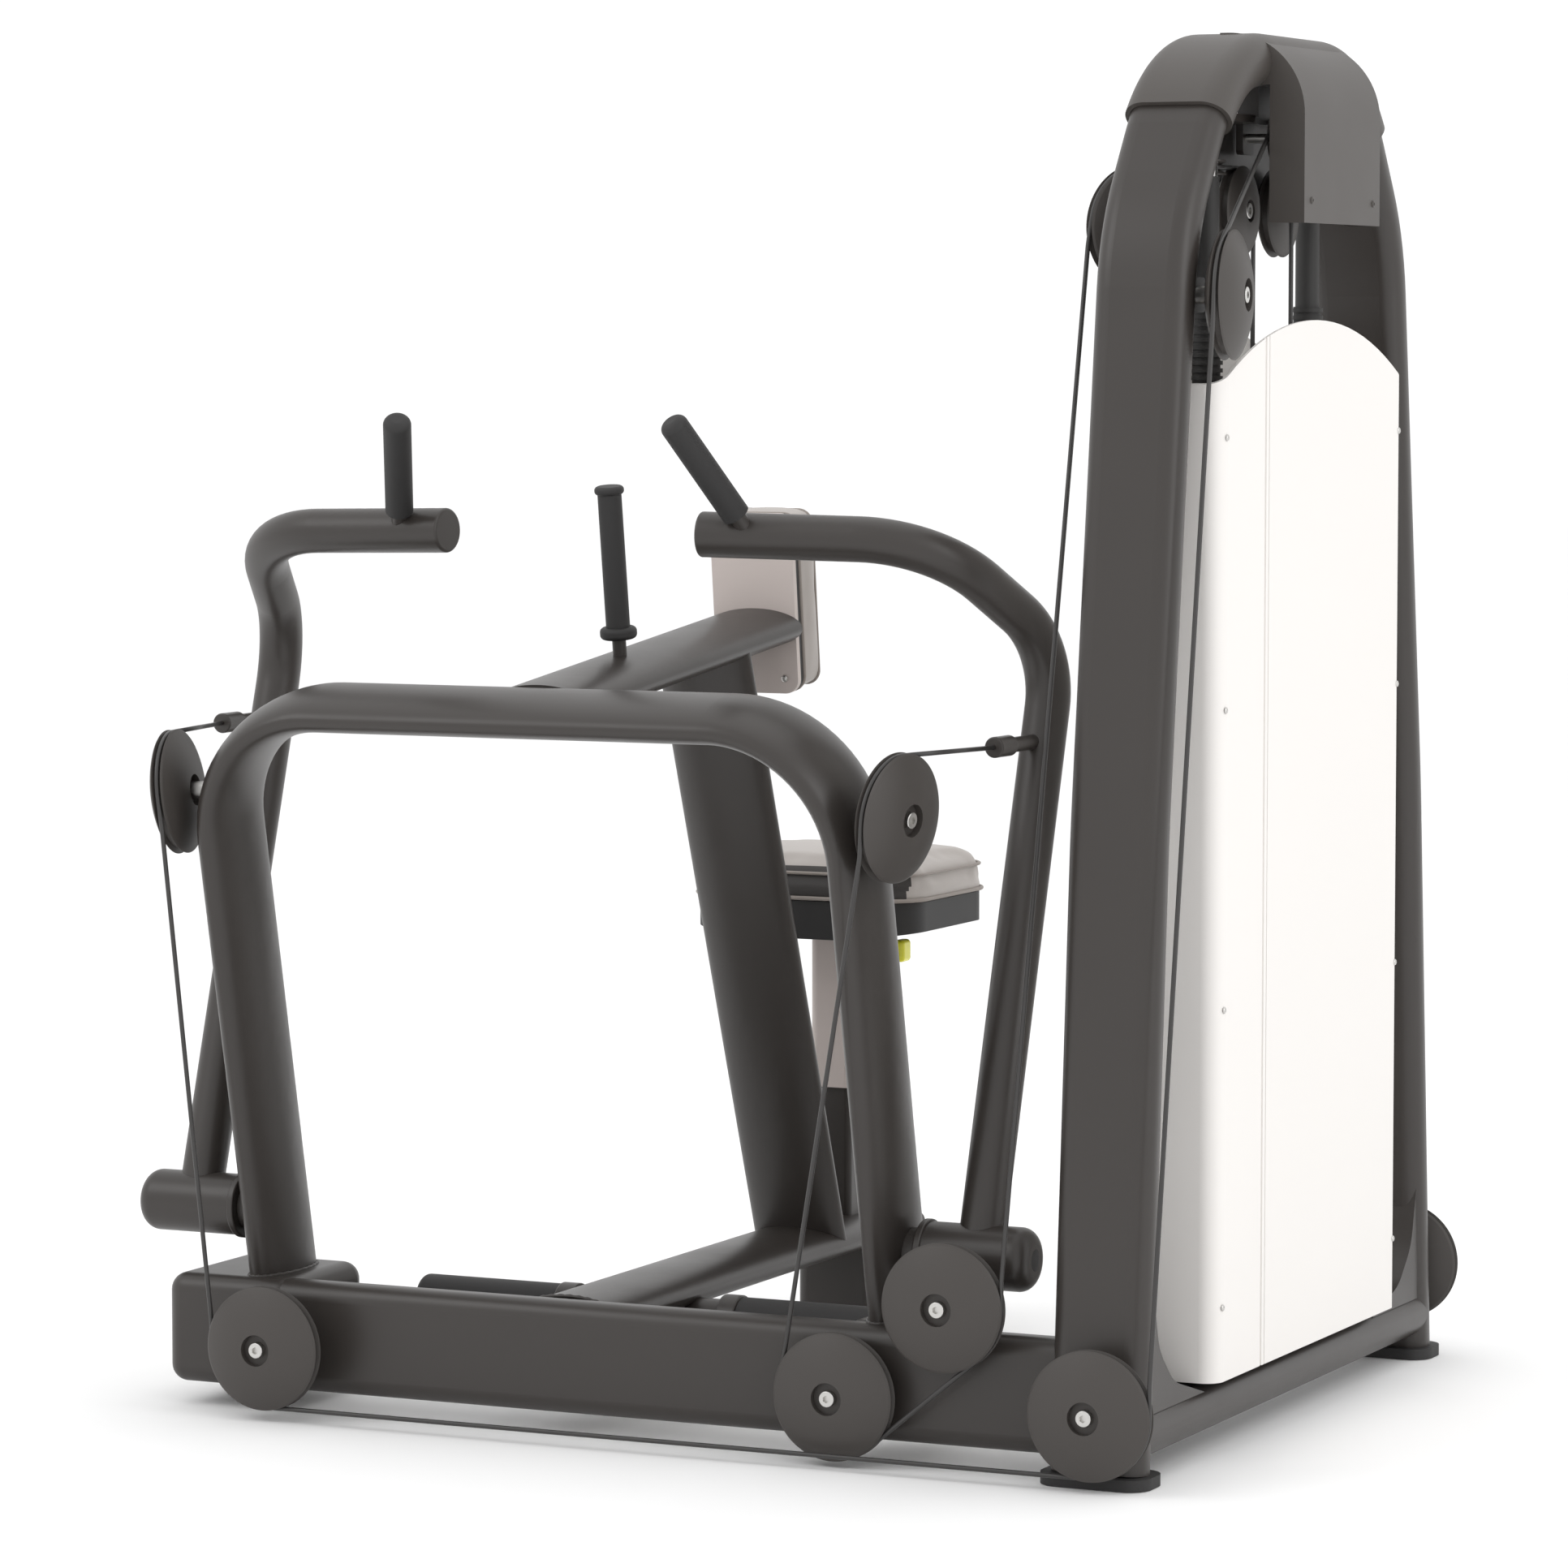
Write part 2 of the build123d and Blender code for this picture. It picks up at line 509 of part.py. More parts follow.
def build_arm():
    """Pieces of the right arm, by name."""
    path = arm_path()
    start = Plane(origin=path @ 0, z_dir=path % 0)
    tube = sweep(start * Circle(ARM_TUBE / 2), path=path)
    tube_bore = sweep(start * Circle(ARM_TUBE / 2 - WALL), path=path)
    pivot = (ARM_PIVOT_Y, ARM_PIVOT_Z)
    barrel = rod((HUB_INNER_X + 6, *pivot), (HUB_OUTER_X, *pivot), HUB_RADIUS)
    barrel = fillet(barrel.edges().group_by(Axis.X)[-1], 17)
    collar = rod((HUB_INNER_X, *pivot), (HUB_INNER_X + 8, *pivot), HUB_RADIUS + 2.5)
    barrel += fillet(collar.edges(), 2)
    hub = barrel - rod((HUB_INNER_X - 1, *pivot), (516, *pivot), 17.0)

    bar_end = path @ 1
    outwards = path % 1
    cap = rod(tuple(bar_end), tuple(bar_end + outwards * 6), ARM_TUBE / 2)
    cap = fillet(cap.edges().sort_by_distance(tuple(bar_end + outwards * 30))[0], 3)
    root = Vector(206, 55, 962)
    way = (Vector(162, -34, 1079) - Vector(205, 49, 970)).normalized()
    core = rod(tuple(root), tuple(root + way * 140), 9.0)
    grip = rod(tuple(root + way * 22), tuple(root + way * 152), 15.0)
    grip = fillet(grip.edges().sort_by_distance(tuple(root + way * 200))[0], 9)
    stud = rod((ROD_X, ROD_TIP_Y + 8, ROD_TIP_Z), (ARM_X - 2, 236, ROD_TIP_Z), 8.0) - tube
    socket = rod((ROD_X, ROD_TIP_Y, ROD_TIP_Z), (ROD_X + 1.3, 150, ROD_TIP_Z), 11.0)
    stud = largest(stud + fillet(socket.edges(), 2))
    arm = largest(tube + cap + core - tube_bore - barrel)
    return {"arm_tube": arm, "arm_hub": hub, "handle_grip": largest(grip - core - tube - cap),
            "cable_stud": stud}


def build_arms(hoop):
    """Both arms, and the axles and bushes that the hoop holds for them."""
    for name, shape in build_arm().items():
        keep(f"right_{name}", shape)
        keep(f"left_{name}", mirror_x(shape))
    pivot = (ARM_PIVOT_Y, ARM_PIVOT_Z)
    axle = rod((HOOP_HALF_SPAN, *pivot), (513.5, *pivot), 12.0)
    axle += rod((HOOP_HALF_SPAN, *pivot), (HUB_INNER_X - 0.6, *pivot), 26.0)
    for low, high in ((407, 432), (488, 513)):
        axle += rod((low, *pivot), (high, *pivot), 16.95)
    keep("hub_axles", both_sides(largest(axle - hoop)))


# ---- weight tower --------------------------------------------------------------------------
def stack_plate(bottom, thickness):
    """One plate with two guide holes and a hole for the selector rod."""
    plate = slab((TOWER_X - STACK_HALF_X, TOWER_MID_Y - STACK_HALF_Y, bottom),
                 (TOWER_X + STACK_HALF_X, TOWER_MID_Y + STACK_HALF_Y, bottom + thickness), 4,
                 Axis.Z)
    for side in (-1, 1):
        plate -= Pos(TOWER_X, TOWER_MID_Y + side * ROD_HALF_SPAN, bottom + thickness / 2) * (
            Cylinder(ROD_RADIUS + 1.2, thickness + 2))
    return plate - Pos(TOWER_X, TOWER_MID_Y, bottom + thickness / 2) * Cylinder(
        11.0, thickness + 2)


def build_stack():
    """Resting plates, lifted plates, the top plate, the selector rod and its pin."""
    resting = [stack_plate(STACK_BOTTOM + i * PLATE, PLATE - PLATE_GAP)
               for i in range(RESTING_PLATES)]
    pin_height = STACK_BOTTOM + RESTING_PLATES * PLATE + PLATE / 2
    lifted = [stack_plate(STACK_BOTTOM + (RESTING_PLATES + i) * PLATE, PLATE - PLATE_GAP)
              for i in range(LIFTED_PLATES)]
    pin_hole = rod((TOWER_X - 60, TOWER_MID_Y, pin_height), (TOWER_X + 8, TOWER_MID_Y, pin_height),
                   4.6)
    lifted[0] -= pin_hole
    top_z = STACK_BOTTOM + (RESTING_PLATES + LIFTED_PLATES) * PLATE
    top_plate = stack_plate(top_z, 38.0)
    selector = rod((TOWER_X, TOWER_MID_Y, STACK_BOTTOM + 12), (TOWER_X, TOWER_MID_Y, top_z + 38),
                   9.5)
    selector -= pin_hole
    flange = Pos(TOWER_X, TOWER_MID_Y, top_z + 38) * Cylinder(
        24, 8, align=(Align.CENTER, Align.CENTER, Align.MIN))
    keep("resting_plates", *resting)
    keep("lifted_plates", *lifted)
    keep("stack_top_plate", top_plate)
    pin = rod((TOWER_X - 58, TOWER_MID_Y, pin_height), (TOWER_X + 7, TOWER_MID_Y, pin_height), 4.2)
    knob = rod((TOWER_X - 84, TOWER_MID_Y, pin_height),
               (TOWER_X - 57, TOWER_MID_Y, pin_height), 13.0)
    keep("selector_pin", pin + fillet(knob.edges(), 4))
    eyes = []
    for route in (left_route, right_route):
        end = route.depart[-1]
        eye = rod((end.X, end.Y, top_z + 38), (end.X, end.Y, top_z + 70), 7.0)
        nut = Plane(origin=(end.X, end.Y, top_z + 38)) * extrude(RegularPolygon(12, 6), 10)
        eyes.append(fillet(eye.edges().group_by(Axis.Z)[-1], 2) + nut)
    keep("selector_rod", selector + flange + eyes[0] + eyes[1])
    buffers = [ring((TOWER_X, TOWER_MID_Y + side * ROD_HALF_SPAN, 75),
                    (TOWER_X, TOWER_MID_Y + side * ROD_HALF_SPAN, STACK_BOTTOM - 0.4), 24.0,
                    ROD_RADIUS + 0.2) for side in (-1, 1)]
    keep("stack_buffers", *buffers)
    return top_z + 70


def build_guides():
    """Guide rods, their ribbed stops and the crown bracket that holds them."""
    bracket_low, bracket_high = 1388.0, 1396.0
    keep("guide_rods", *[rod((TOWER_X, TOWER_MID_Y + side * ROD_HALF_SPAN, 75),
                             (TOWER_X, TOWER_MID_Y + side * ROD_HALF_SPAN, bracket_low),
                             ROD_RADIUS) for side in (-1, 1)])
    ribs = []
    for side in (-1, 1):
        y = TOWER_MID_Y + side * ROD_HALF_SPAN
        sleeve = rod((TOWER_X, y, 1084), (TOWER_X, y, 1196), 15.0)
        for step in range(14):
            z = 1086 + step * 8
            sleeve += Pos(TOWER_X, y, z + 2.2) * Cylinder(17.5, 4.4)
        upper_tube = rod((TOWER_X, y, 1196), (TOWER_X, y, 1330), 13.0)
        ribs.append(sleeve + upper_tube - rod((TOWER_X, y, 1000), (TOWER_X, y, 1400),
                                              ROD_RADIUS + 0.3))
    keep("rod_stop_sleeves", *ribs)
    front = stack_front.centre.Y
    rear = stack_rear.centre.Y
    plate = slab((TOWER_X - 24, TOWER_MID_Y - 172, bracket_low),
                 (TOWER_X + 24, TOWER_MID_Y + 172, bracket_high), 8, Axis.Z)
    tab = slab((TOWER_X - 16, TOWER_MID_Y - 22, bracket_high), (TOWER_X + 8, TOWER_MID_Y + 40,
                                                              TOWER_CROWN_Z))
    hangers = slab((TOWER_X - 24, front - 20, 1284), (TOWER_X - 17, rear + 20, bracket_low))
    bracket = plate + tab + hangers
    bracket -= slab((TOWER_X + 8, 366, bracket_low - 5), (TOWER_X + 80, 470, bracket_high + 5))
    return largest(bracket - arch_body(0))


def build_shroud():
    """Two formed covers round the stack, with a domed top edge and a pin window."""
    low_z, high_z = 82.0, 1110.0
    x_in, x_out = 556.0, 694.0
    y_low, y_high = TOWER_MID_Y - 281, TOWER_MID_Y + 281
    wall = 3.0
    outer = slab((x_in, y_low, low_z), (x_out, y_high, 1300), 20, Axis.Z)
    inner = slab((x_in + wall, y_low + wall, low_z - 1), (x_out - wall, y_high - wall, 1301), 17,
                 Axis.Z)
    dome = make_face(ThreePointArc((y_low - 30, high_z - 12), (TOWER_MID_Y, high_z + 71),
                                   (y_high + 30, high_z - 12))
                     + Polyline((y_high + 30, high_z - 12), (y_high + 30, 1400),
                                (y_low - 30, 1400), (y_low - 30, high_z - 12)))
    above = Plane(origin=(x_in - 50, 0, 0), x_dir=(0, 1, 0), z_dir=(1, 0, 0)) * extrude(
        dome, x_out - x_in + 100)
    shell = outer - inner - above
    seam_x = 600.0
    front = shell & slab((seam_x + 0.2, 0, 0), (x_out + 10, 900, 1400))
    back = shell & slab((x_in - 10, 0, 0), (seam_x, 900, 1400))
    for groove_y, width in ((y_low + 127, 4.5), (y_low + 138.5, 2.2)):
        front -= slab((x_out - 1.8, groove_y, 0), (x_out + 2, groove_y + width, 1400))
    window = slab((x_in - 5, TOWER_MID_Y - 26, 140), (x_in + 8, TOWER_MID_Y + 26, 1000), 20, Axis.X)
    keep("shroud_outer", front)
    keep("shroud_inner", back - window)


def build_cap():
    """Plastic cover over the arch, with the housing that covers the crown pulley."""
    sleeve = arch_body(CAP_WALL) - arch_body(0.4)
    sleeve &= slab((TOWER_X - 100, TOWER_MID_Y - 330, 1250), (TOWER_X + 100, TOWER_MID_Y + 330,
                                                              1600))
    below_lip = Pos(TOWER_X, LIP_Y, LIP_Z) * Rot(-LIP_TILT, 0, 0) * Pos(0, 0, -150) * Box(
        200, 400, 300)
    mid = Plane(origin=(0, TOWER_MID_Y, 0), z_dir=(0, 1, 0))
    sleeve = largest(sleeve - below_lip - mirror(below_lip, mid))
    sleeve -= slab((TOWER_X - 40, TOWER_MID_Y - 150, 1380), (TOWER_X + 40, TOWER_MID_Y + 150, 1434))
    low_z = 1282.0
    y_low, y_high = TOWER_MID_Y - 117, TOWER_MID_Y + 117
    x_low, x_high = TOWER_X, 722.0
    crown = TOWER_CROWN_Z + TOWER_TUBE_Y / 2 + CAP_WALL
    round_edge = 86.0
    block = slab((x_low, y_low, low_z), (x_high, y_high, crown))
    block = fillet(block.edges().filter_by(Axis.Y).group_by(Axis.Z)[-1].sort_by(Axis.X)[-1],
                   round_edge)
    hollow = slab((x_low - 1, y_low + 3, low_z - 1), (x_high - 3, y_high - 3, crown - 3))
    hollow = fillet(hollow.edges().filter_by(Axis.Y).group_by(Axis.Z)[-1].sort_by(Axis.X)[-1],
                    round_edge - 3)
    inside = slab((x_low - 1, y_low - 1, low_z - 1), (TOWER_X + 56, y_high + 1, 1426))
    housing = block - hollow - arch_body(0.4) - inside
    keep("tower_cap", largest(sleeve + housing))


# ---- seat ----------------------------------------------------------------------------------
def build_seat(spine):
    """Post, sliding stem, cover, pan, cushion and the height lever."""
    post = slab((-22.4, SEAT_Y - 22.4, SPINE_CENTRE_Z), (22.4, SEAT_Y + 22.4, 345), 7, Axis.Z)
    post -= slab((-18, SEAT_Y - 18, 150), (18, SEAT_Y + 18, 360))
    keep("seat_post", post - spine)
    keep("seat_stem", slab((-17.4, SEAT_Y - 17.4, 208), (17.4, SEAT_Y + 17.4, 474), 5, Axis.Z))
    cover = slab((-27.5, SEAT_Y - 27.5, 292), (27.5, SEAT_Y + 27.5, 474), 11, Axis.Z)
    cover -= slab((-23.5, SEAT_Y - 23.5, 280), (23.5, SEAT_Y + 23.5, 466), 8, Axis.Z)
    cover -= slab((-17.4, SEAT_Y - 17.4, 460), (17.4, SEAT_Y + 17.4, 480), 5, Axis.Z)
    cover -= rod((19, SEAT_Y, LEVER_Z), (35, SEAT_Y, LEVER_Z), 8.5)
    keep("seat_post_cover", cover)
    pan_profile = make_face(Polyline((-SEAT_HALF_X, SEAT_TOP - 48), (-SEAT_HALF_X,
                                                                     SEAT_TOP - 82),
                                     (-60, 474), (60, 474), (SEAT_HALF_X, SEAT_TOP - 82),
                                     (SEAT_HALF_X, SEAT_TOP - 48), close=True))
    pan = Plane(origin=(0, SEAT_Y + 118, 0), x_dir=(1, 0, 0), z_dir=(0, -1, 0)) * extrude(
        pan_profile, 236)
    pan &= slab((-SEAT_HALF_X, SEAT_Y - 118, 400), (SEAT_HALF_X, SEAT_Y + 118, 600), 45, Axis.Z)
    keep("seat_pan", pan)
    cushion = slab((-SEAT_HALF_X - 3, SEAT_Y - 121, SEAT_TOP - 47.6),
                   (SEAT_HALF_X + 3, SEAT_Y + 121, SEAT_TOP), 46, Axis.Z)
    cushion = fillet(cushion.edges().group_by(Axis.Z)[-1], 14)
    keep("seat_cushion", cushion)
    lever = rod((22, SEAT_Y, LEVER_Z), (74, SEAT_Y, LEVER_Z + 3), 4.5)
    lever += rod((LEVER_PIVOT_X, SEAT_Y - 6.5, LEVER_Z), (LEVER_PIVOT_X, SEAT_Y + 6.5, LEVER_Z), 2.6)
    paddle = slab((72, SEAT_Y - 12, 440), (86, SEAT_Y + 12, 466), 5)
    keep("seat_lever", lever + paddle)


# ---- assembly ------------------------------------------------------------------------------
def nearest(shape, point):
    """The solid of a cut that lies closest to a point."""
    return min(shape.solids(), key=lambda solid: (solid.center() - point).length)


def guide_roller_wheel():
    """Small grooved roller that steers one cable into line with the stack."""
    rim = guide_roller.radius
    profile = Polyline((4.3, -8), (rim, -8), (rim, -6.5), (rim - GROOVE_DEPTH, -2.9),
                       (rim - GROOVE_DEPTH, 2.9), (rim, 6.5), (rim, 8), (4.3, 8), close=True)
    return guide_roller.plane() * revolve(Plane.XZ * make_face(profile), axis=Axis.Z)


def build_pulleys(base, tower, hoop, bracket):
    """Wheels, their bolts and their spacers, each spacer cut to what it stands on."""
    bolts = []
    backs = {base_left: 60, base_inner: 40, base_outer: 40, base_tower: 60, hoop_right: 75,
             hoop_left: 75, rear_pulley: 45, back_pulley: 60, side_pulley: 40,
             stack_front: 20, stack_rear: 20}
    stands = [base, tower, hoop]
    for pulley in pulleys:
        keep(pulley.name, pulley.wheel())
    keep(guide_roller.name, guide_roller_wheel())
    spindle = Pos(*guide_roller.centre) * Pos(0, 0, -13) * Cylinder(
        4.0, 13 + 1396 - 1340, align=(Align.CENTER, Align.CENTER, Align.MIN))
    spindle += Pos(*guide_roller.centre) * Pos(0, 0, -13) * Cylinder(
        8.0, 4, align=(Align.CENTER, Align.CENTER, Align.MIN))
    for pulley, back in backs.items():
        bolt = pulley.bolt(back)
        boss = pulley.spacer(back)
        for stand in stands:
            bolt -= stand
            boss -= stand
        bolts.append(nearest(bolt, pulley.centre))
        if pulley not in (stack_front, stack_rear):
            bolts.append(nearest(boss, pulley.centre))
    crown_bolt = cap_pulley.bolt(cap_pulley.centre.X - TOWER_X + 12)
    bolts.append(crown_bolt)
    fork = slab((TOWER_X - 10, 398, 1356), (TOWER_X - 2, 432, 1396), 5, Axis.X) - crown_bolt
    bracket = bracket + fork + spindle
    for bolt in bolts:
        bracket -= bolt
    keep("crown_bracket", largest(bracket))
    keep("pulley_bolts", *bolts)


def build_cables(anchor_z):
    """Two held cables: each has a fixed run, an end run at the arm and a strand at the stack."""
    for side, route in (("left", left_route), ("right", right_route)):
        keep(f"{side}_cable_run", cable(route.line()))
        gap = (route.start - route.lead_in()).normalized() * 0.4
        keep(f"{side}_cable_arm_end", rod(tuple(route.start), tuple(route.lead_in() + gap),
                                          CABLE_RADIUS))
        top = route.lead_out()
        keep(f"{side}_cable_stack_end", rod((top.X, top.Y, anchor_z), tuple(top), CABLE_RADIUS))
        print(side, "run, turns in degrees:",
              [round(degrees(route.turn(i))) for i in range(len(route.stops))])


def assemble():
    tower, base, hoop, spine = build_frame()
    build_feet()
    build_foot_rest()
    build_chest_pad()
    build_centre_grip()
    build_arms(hoop)
    anchor_z = build_stack()
    build_shroud()
    build_cap()
    build_seat(spine)
    build_pulleys(base, tower, hoop, build_guides())
    build_cables(anchor_z)


assemble()
box = Compound([solid for piece in pieces.values() for solid in piece.solids()]).bounding_box()
SHIFT = (-(box.min.X + box.max.X) / 2, -(box.min.Y + box.max.Y) / 2, -box.min.Z)
for name, piece in pieces.items():
    export_step(Pos(*SHIFT) * piece, f"parts/{name}.step")
print("shift", SHIFT, "size", box.size, "nodes", len(pieces))
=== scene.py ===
import json
from math import cos, pi, radians, sin

import bmesh
import bpy
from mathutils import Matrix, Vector


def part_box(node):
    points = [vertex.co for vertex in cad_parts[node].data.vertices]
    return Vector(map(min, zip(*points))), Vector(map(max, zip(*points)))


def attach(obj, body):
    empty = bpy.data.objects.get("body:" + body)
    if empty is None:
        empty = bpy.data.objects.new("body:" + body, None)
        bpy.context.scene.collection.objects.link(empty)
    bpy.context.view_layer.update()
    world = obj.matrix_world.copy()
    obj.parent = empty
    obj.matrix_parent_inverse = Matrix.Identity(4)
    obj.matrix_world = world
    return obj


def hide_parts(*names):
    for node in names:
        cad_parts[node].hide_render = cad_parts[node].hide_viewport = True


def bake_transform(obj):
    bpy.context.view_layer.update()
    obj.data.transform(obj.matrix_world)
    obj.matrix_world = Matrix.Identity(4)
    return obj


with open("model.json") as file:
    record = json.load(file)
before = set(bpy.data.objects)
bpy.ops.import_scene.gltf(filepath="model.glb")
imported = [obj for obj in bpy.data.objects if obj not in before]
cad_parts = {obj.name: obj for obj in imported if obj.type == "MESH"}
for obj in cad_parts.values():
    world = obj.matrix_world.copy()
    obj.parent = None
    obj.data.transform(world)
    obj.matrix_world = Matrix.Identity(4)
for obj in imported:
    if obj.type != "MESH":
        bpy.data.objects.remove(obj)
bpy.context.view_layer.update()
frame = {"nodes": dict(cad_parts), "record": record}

nodes = frame["nodes"]
link = bpy.context.scene.collection.objects.link


def centre(node):
    """Middle of a node's box."""
    low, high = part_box(node)
    return (Vector(low) + Vector(high)) / 2


# The floor tube, the guide rods and the base beam give the positions of the added pieces.
MID_X = centre("spine_tube").x
TOWER_Y = centre("guide_rods").y
BEAM_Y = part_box("base_beam")[0][1]

CABLE_RADIUS = 0.0025
WELD_RADIUS = 0.0022
WELD_LUMP = 0.22          # ripple of a weld bead, as a share of its thickness
PAD_TILT = radians(6.35)
PAD_HALF_X, PAD_HALF_UP, PAD_DEEP = 0.051, 0.103, 0.062
PLATE_COUNT = 13
PLATE_PITCH = 0.025
POST_HOLE_PITCH = 0.045


# ---- materials -----------------------------------------------------------------------------
def finish(name, colour, rough, metallic=0.0, coat=0.0, mottle=0.06, mottle_scale=9.0,
           grain=0.0, grain_scale=900.0, wave=None, sheen=0.0, worn=0.0):
    """Painted, moulded or plated surface: mottled colour, fine grain and slight gloss changes."""
    made = bpy.data.materials.new(name)
    made.use_nodes = True
    tree = made.node_tree
    shader = tree.nodes["Principled BSDF"]
    shader.inputs["Metallic"].default_value = metallic
    shader.inputs["Coat Weight"].default_value = coat
    shader.inputs["Coat Roughness"].default_value = 0.25
    shader.inputs["Sheen Weight"].default_value = sheen
    place = tree.nodes.new("ShaderNodeTexCoord")
    broad = tree.nodes.new("ShaderNodeTexNoise")
    broad.inputs["Scale"].default_value = mottle_scale
    broad.inputs["Detail"].default_value = 5.0
    tree.links.new(place.outputs["Object"], broad.inputs["Vector"])
    ramp = tree.nodes.new("ShaderNodeMix")
    ramp.data_type = "RGBA"
    ramp.inputs["A"].default_value = [*(c * (1 - mottle) for c in colour), 1]
    ramp.inputs["B"].default_value = [*(min(c * (1 + mottle), 1) for c in colour), 1]
    tree.links.new(broad.outputs["Fac"], ramp.inputs["Factor"])
    tree.links.new(ramp.outputs["Result"], shader.inputs["Base Color"])
    speckle = tree.nodes.new("ShaderNodeTexNoise")
    speckle.inputs["Scale"].default_value = grain_scale
    speckle.inputs["Detail"].default_value = 3.0
    tree.links.new(place.outputs["Object"], speckle.inputs["Vector"])
    gloss = tree.nodes.new("ShaderNodeMapRange")
    gloss.inputs["To Min"].default_value = max(rough - 0.05 - worn, 0.03)
    gloss.inputs["To Max"].default_value = min(rough + 0.07, 1)
    tree.links.new(broad.outputs["Fac"], gloss.inputs["Value"])
    tree.links.new(gloss.outputs["Result"], shader.inputs["Roughness"])
    height = speckle.outputs["Fac"]
    if wave:
        bands = tree.nodes.new("ShaderNodeTexWave")
        bands.bands_direction = wave[0]
        bands.inputs["Scale"].default_value = wave[1]
        bands.inputs["Distortion"].default_value = wave[2]
        tree.links.new(place.outputs["Object"], bands.inputs["Vector"])
        both = tree.nodes.new("ShaderNodeMath")
        both.operation = "ADD"
        tree.links.new(bands.outputs["Fac"], both.inputs[0])
        tree.links.new(height, both.inputs[1])
        height = both.outputs["Value"]
    if grain:
        bump = tree.nodes.new("ShaderNodeBump")
        bump.inputs["Strength"].default_value = grain
        bump.inputs["Distance"].default_value = 0.0004
        tree.links.new(height, bump.inputs["Height"])
        tree.links.new(bump.outputs["Normal"], shader.inputs["Normal"])
    return made


def leather(name, colour):
    """Coated upholstery: small irregular cells pressed into a soft, slightly mottled skin."""
    made = finish(name, colour, 0.52, mottle=0.05, mottle_scale=14, grain=0.0, sheen=0.15)
    tree = made.node_tree
    shader = tree.nodes["Principled BSDF"]
    place = tree.nodes["Texture Coordinate"]
    cells = tree.nodes.new("ShaderNodeTexVoronoi")
    cells.feature = "DISTANCE_TO_EDGE"
    cells.inputs["Scale"].default_value = 620.0
    tree.links.new(place.outputs["Object"], cells.inputs["Vector"])
    crease = tree.nodes.new("ShaderNodeTexNoise")
    crease.inputs["Scale"].default_value = 60.0
    crease.inputs["Detail"].default_value = 8.0
    tree.links.new(place.outputs["Object"], crease.inputs["Vector"])
    both = tree.nodes.new("ShaderNodeMath")
    both.operation = "ADD"
    tree.links.new(cells.outputs["Distance"], both.inputs[0])
    tree.links.new(crease.outputs["Fac"], both.inputs[1])
    bump = tree.nodes.new("ShaderNodeBump")
    bump.inputs["Strength"].default_value = 0.28
    bump.inputs["Distance"].default_value = 0.0006
    tree.links.new(both.outputs["Value"], bump.inputs["Height"])
    tree.links.new(bump.outputs["Normal"], shader.inputs["Normal"])
    return made


paint = finish("frame_paint", (0.034, 0.029, 0.026), 0.38, grain=0.10, grain_scale=1400,
               worn=0.02)
pulley_grey = finish("pulley_grey", (0.047, 0.041, 0.037), 0.50, grain=0.14, grain_scale=1100)
steel = finish("bright_steel", (0.62, 0.61, 0.60), 0.22, metallic=1.0, mottle=0.04, grain=0.05,
               wave=("Z", 420, 1.5))
zinc = finish("zinc_bolt", (0.58, 0.57, 0.55), 0.30, metallic=1.0, mottle=0.08, mottle_scale=60,
              grain=0.08)
cable_black = finish("cable_jacket", (0.035, 0.033, 0.032), 0.34, grain=0.12, grain_scale=2000)
rubber = finish("rubber_black", (0.020, 0.019, 0.019), 0.62, grain=0.45, grain_scale=1600)
ribbed = finish("ribbed_rubber", (0.022, 0.021, 0.020), 0.58, grain=0.4, grain_scale=1500)
iron = finish("plate_iron", (0.045, 0.043, 0.042), 0.48, metallic=0.3, mottle=0.12, grain=0.4,
              grain_scale=700)
white = finish("shroud_plastic", (0.79, 0.765, 0.74), 0.46, mottle=0.012, mottle_scale=3,
               grain=0.12, grain_scale=1300)
cap_grey = finish("cap_plastic", (0.058, 0.051, 0.046), 0.44, grain=0.22, grain_scale=1200)
pinkish = finish("cover_plastic", (0.60, 0.53, 0.50), 0.5, mottle=0.02, grain=0.15,
                 grain_scale=1200)
black = finish("black_plastic", (0.018, 0.017, 0.017), 0.55, grain=0.3, grain_scale=1300)
yellow = finish("yellow_plastic", (0.93, 0.90, 0.045), 0.30, coat=0.4, mottle=0.02, grain=0.05)
skin = leather("upholstery", (0.43, 0.395, 0.37))
# A darker copy of the upholstery, used as painted shade on the seat's side towards the mast.
painted_shade_skin = leather("upholstery_painted_shade", (0.030, 0.026, 0.024))
thread = finish("seam_piping", (0.30, 0.265, 0.24), 0.55, mottle=0.05, grain=0.3,
                grain_scale=1500)
weld_paint = finish("weld_paint", (0.034, 0.029, 0.026), 0.42, mottle=0.08, grain=0.5,
                    grain_scale=260)

by_slot = {"frame_paint": paint, "pulley_plastic": pulley_grey, "bright_steel": steel,
           "cable_jacket": cable_black, "rubber_black": rubber, "plate_iron": iron,
           "shroud_plastic": white, "cap_plastic": cap_grey, "upholstery": skin,
           "pad_plate_plastic": pinkish, "black_plastic": black, "yellow_plastic": yellow}
for entry in frame["record"]["subparts"]:
    mesh = nodes[entry["node"]].data
    mesh.materials.clear()
    mesh.materials.append(by_slot[entry["material_slot"]])
nodes["pulley_bolts"].data.materials[0] = zinc
nodes["rod_stop_sleeves"].data.materials[0] = ribbed


# ---- making pieces -------------------------------------------------------------------------
def keep(name, mesh, material, body):
    """Add a finished mesh to the scene and let it ride on a body."""
    mesh.materials.append(material)
    for face in mesh.polygons:
        face.use_smooth = True
    piece = bpy.data.objects.new(name, mesh)
    link(piece)
    if body:
        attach(piece, body)
    return piece


